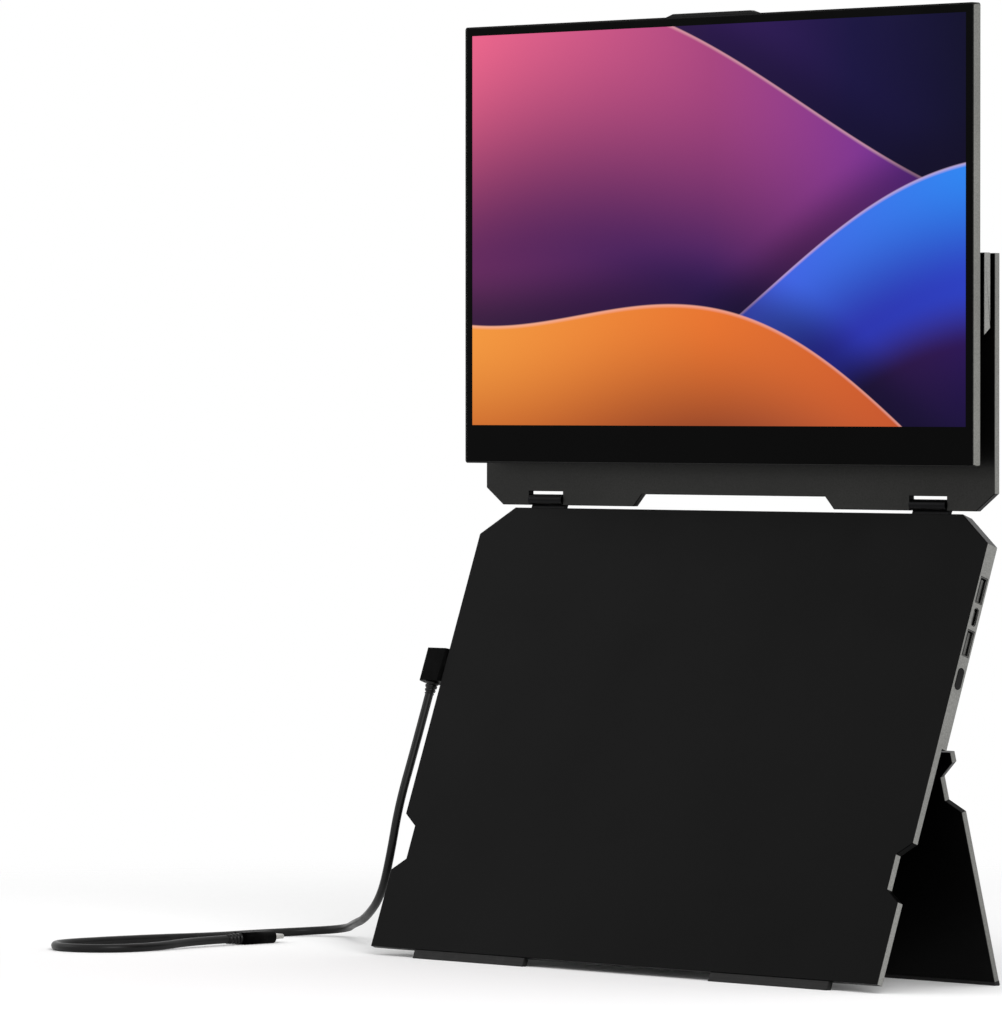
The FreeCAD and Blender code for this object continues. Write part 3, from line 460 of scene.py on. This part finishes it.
# Light guide and liquid crystal panel. An acrylic sheet with a white dotted back, and two
# sheets of glass with a dark polariser film on each; both lie hidden behind the cover glass.
# Cast acrylic over white print: milky white with fine dots
guide_finish = new_finish("acrylic_light_guide")
place = add(guide_finish, "TexCoord").outputs["Object"]
dots = add(guide_finish, "TexVoronoi", place, inputs={"Scale": 600.0})
dotted = add(guide_finish, "MapRange", dots.outputs["Distance"], 0.2, 0.4, 0.0, 1.0)
colours = add(guide_finish, "Mix", data_type="RGBA",
              inputs={0: dotted, 6: linear("#f2f2ee"), 7: linear("#d9dcdc")}).outputs[2]
shader = add(guide_finish, "BsdfPrincipled", inputs={"Base Color": colours, "Roughness": 0.4,
                                                     "IOR": 1.49})
add(guide_finish, "OutputMaterial", shader)
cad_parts["backlight"].material_slots[0].material = guide_finish
# Laminated polariser film: a smooth blue-black
panel_finish = moulded_finish("polariser_film", "#101014", "#15151a", 0.2, 0.2, 0.002)
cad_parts["lcd_panel"].material_slots[0].material = panel_finish

# Cover glass. One sheet of 0.8 mm strengthened glass with an anti-reflective coat, its back
# printed black round the picture. The picture is three broad flowing ribbons on a dusk ground.
PICTURE_HALF_WIDTH = 0.1721
PICTURE_LOW = 0.261685
PICTURE_HIGH = 0.455285
# Coated glass: deep black round a lit picture, with next to no reflection
glass_finish = new_finish("coated_cover_glass")
split = add(glass_finish, "SeparateXYZ", add(glass_finish, "TexCoord").outputs["Object"])
across = add(glass_finish, "MapRange", split.outputs["X"], -PICTURE_HALF_WIDTH,
             PICTURE_HALF_WIDTH, 0.0, 1.0, clamp=False)
up = add(glass_finish, "MapRange", split.outputs["Z"], PICTURE_LOW, PICTURE_HIGH, 0.0, 1.0,
         clamp=False)
ground = add(glass_finish, "ValToRGB", across)
ground.color_ramp.elements[0].color = linear("#6a5670")
ground.color_ramp.elements[1].color = linear("#0d0b2b")
for position, colour in ((0.22, "#55305f"), (0.5, "#33195a"), (0.78, "#171040")):
    ground.color_ramp.elements.new(position).color = linear(colour)
low_light = add(glass_finish, "MapRange", up, 0.6, 0.0, 0.0, 0.75)
picture = add(glass_finish, "Mix", data_type="RGBA",
              inputs={0: low_light, 6: ground, 7: linear("#30195c")}).outputs[2]
# Each ribbon: height of its upper edge at the left, rise, swing, waves, phase, depth,
# and its colours from left to right at the edge and at its foot
RIBBONS = (
    (0.93, -0.20, 0.20, 3.4, 0.8, 0.66, ("#ee678d", "#a8457f", "#55259a"),
     ("#63285c", "#351a5c", "#1b1145")),
    (0.02, 0.52, 0.11, 5.2, 3.1, 0.30, ("#5b2ac8", "#4650dc", "#2f86f2"),
     ("#2c1470", "#2a1c8c", "#2b3fc0")),
    (0.40, -0.52, 0.17, 4.3, 5.3, 0.46, ("#f3983f", "#e8752f", "#b8472c"),
     ("#b4471f", "#6b2a24", "#35183a")),
)
for start, rise, swing, waves, phase, depth, edge_colours, foot_colours in RIBBONS:
    angle = add(glass_finish, "Math", across, waves, phase, operation="MULTIPLY_ADD")
    wave = add(glass_finish, "Math", angle, operation="SINE")
    slope = add(glass_finish, "Math", across, rise, start, operation="MULTIPLY_ADD")
    crest = add(glass_finish, "Math", wave, swing, slope, operation="MULTIPLY_ADD")
    below = add(glass_finish, "Math", crest, up, operation="SUBTRACT")
    edge_ramp = add(glass_finish, "ValToRGB", across)
    foot_ramp = add(glass_finish, "ValToRGB", across)
    for ramp, ramp_colours in ((edge_ramp, edge_colours), (foot_ramp, foot_colours)):
        ramp.color_ramp.elements[0].color = linear(ramp_colours[0])
        ramp.color_ramp.elements[1].color = linear(ramp_colours[2])
        ramp.color_ramp.elements.new(0.5).color = linear(ramp_colours[1])
    # Each ribbon darkens what lies just above it
    shadow = add(glass_finish, "MapRange", below, -0.16, 0.0, 0.0, 0.55,
                 interpolation_type="SMOOTHSTEP")
    picture = add(glass_finish, "Mix", data_type="RGBA",
                  inputs={0: shadow, 6: picture, 7: linear("#0c0624")}).outputs[2]
    fall = add(glass_finish, "MapRange", below, 0.0, depth, 0.0, 1.0,
               interpolation_type="SMOOTHSTEP")
    ribbon = add(glass_finish, "Mix", data_type="RGBA",
                 inputs={0: fall, 6: edge_ramp, 7: foot_ramp}).outputs[2]
    # A thin light line along the upper edge, and a crisp edge under it
    rim = add(glass_finish, "MapRange", below, 0.002, 0.012, 0.55, 0.0)
    ribbon = add(glass_finish, "Mix", data_type="RGBA",
                 inputs={0: rim, 6: ribbon, 7: linear("#ffc9c4")}).outputs[2]
    cover_share = add(glass_finish, "MapRange", below, 0.0, 0.004, 0.0, 1.0)
    foot_share = add(glass_finish, "MapRange", below, depth, depth * 1.5, 1.0, 0.0,
                     interpolation_type="SMOOTHSTEP")
    share = add(glass_finish, "Math", cover_share, foot_share, operation="MULTIPLY")
    picture = add(glass_finish, "Mix", data_type="RGBA",
                  inputs={0: share, 6: picture, 7: ribbon}).outputs[2]
# Only the picture area is lit, and the border stays black
off_middle = add(glass_finish, "Math", across, 0.5, operation="SUBTRACT")
off_centre = add(glass_finish, "Math", up, 0.5, operation="SUBTRACT")
beside = add(glass_finish, "Math", off_middle, operation="ABSOLUTE")
above = add(glass_finish, "Math", off_centre, operation="ABSOLUTE")
in_width = add(glass_finish, "Math", beside, 0.5, operation="LESS_THAN")
in_height = add(glass_finish, "Math", above, 0.5, operation="LESS_THAN")
lit = add(glass_finish, "Math", in_width, in_height, operation="MULTIPLY")
shown = add(glass_finish, "Mix", data_type="RGBA",
            inputs={0: lit, 6: linear("#000000"), 7: picture}).outputs[2]
smears = add(glass_finish, "TexNoise", add(glass_finish, "TexCoord").outputs["Object"],
             inputs={"Scale": 25.0, "Detail": 5.0})
sheen = add(glass_finish, "MapRange", smears, 0.35, 0.75, 0.1, 0.2)
shader = add(glass_finish, "BsdfPrincipled",
             inputs={"Base Color": linear("#020202"), "Roughness": sheen, "IOR": 1.5,
                     "Specular IOR Level": 0.025, "Emission Color": shown,
                     "Emission Strength": 1.0})
add(glass_finish, "OutputMaterial", shader)
softened("cover_glass", "front_glass", glass_finish, "screen", 0.0002)

# Floor, lamps and world. A white table that fades into a white room, with a broad soft lamp on
# the right, a weaker one on the left, and room light all round.
TABLE_HALF_WIDTH = 1.2
FADE_FROM = 0.55
FADE_TO = 1.0
ROOM_LIGHT = 0.8
ROOM_SEEN = 1.0
# Matt white paint, which only the shadows show
table_finish = new_finish("white_table")
place = add(table_finish, "TexCoord").outputs["Object"]
away = add(table_finish, "VectorMath", place, operation="LENGTH")
fade = add(table_finish, "MapRange", away.outputs["Value"], FADE_FROM, FADE_TO, 0.0, 1.0,
           interpolation_type="SMOOTHSTEP")
top = add(table_finish, "BsdfDiffuse", linear("#ffffff"))
clear = add(table_finish, "BsdfTransparent")
add(table_finish, "OutputMaterial", add(table_finish, "MixShader", fade, top, clear))
sheet = bmesh.new()
bmesh.ops.create_grid(sheet, x_segments=1, y_segments=1, size=TABLE_HALF_WIDTH)
table_mesh = bpy.data.meshes.new("table")
sheet.to_mesh(table_mesh)
sheet.free()
table_mesh.materials.append(table_finish)
table = bpy.data.objects.new("table", table_mesh)
bpy.context.scene.collection.objects.link(table)
LAMPS_AIM = Vector((0, 0, 0.2))
# Name, place and side in metres, power in watts
for name, place, size, power in (("right_lamp", (1.9, -0.9, 1.5), 1.2, 26),
                                 ("left_lamp", (-1.6, -1.6, 1.3), 1.4, 9)):
    lamp_data = bpy.data.lights.new(name, "AREA")
    lamp_data.size = size
    lamp_data.energy = power
    lamp = bpy.data.objects.new(name, lamp_data)
    lamp.location = place
    lamp.rotation_euler = (LAMPS_AIM - Vector(place)).to_track_quat("-Z", "Y").to_euler()
    bpy.context.scene.collection.objects.link(lamp)
room = bpy.data.worlds.new("room")
room.use_nodes = True
room.node_tree.nodes.clear()
ray = add(room, "LightPath")
seen = add(room, "Math", ray.outputs["Is Camera Ray"], ray.outputs["Is Glossy Ray"],
           operation="MAXIMUM")
seen = add(room, "Math", seen, ray.outputs["Is Transmission Ray"], operation="MAXIMUM")
strength = add(room, "MapRange", seen, 0.0, 1.0, ROOM_LIGHT, ROOM_SEEN)
light = add(room, "Background", inputs={"Color": (1, 1, 1, 1), "Strength": strength})
add(room, "OutputWorld", light)
bpy.context.scene.world = room
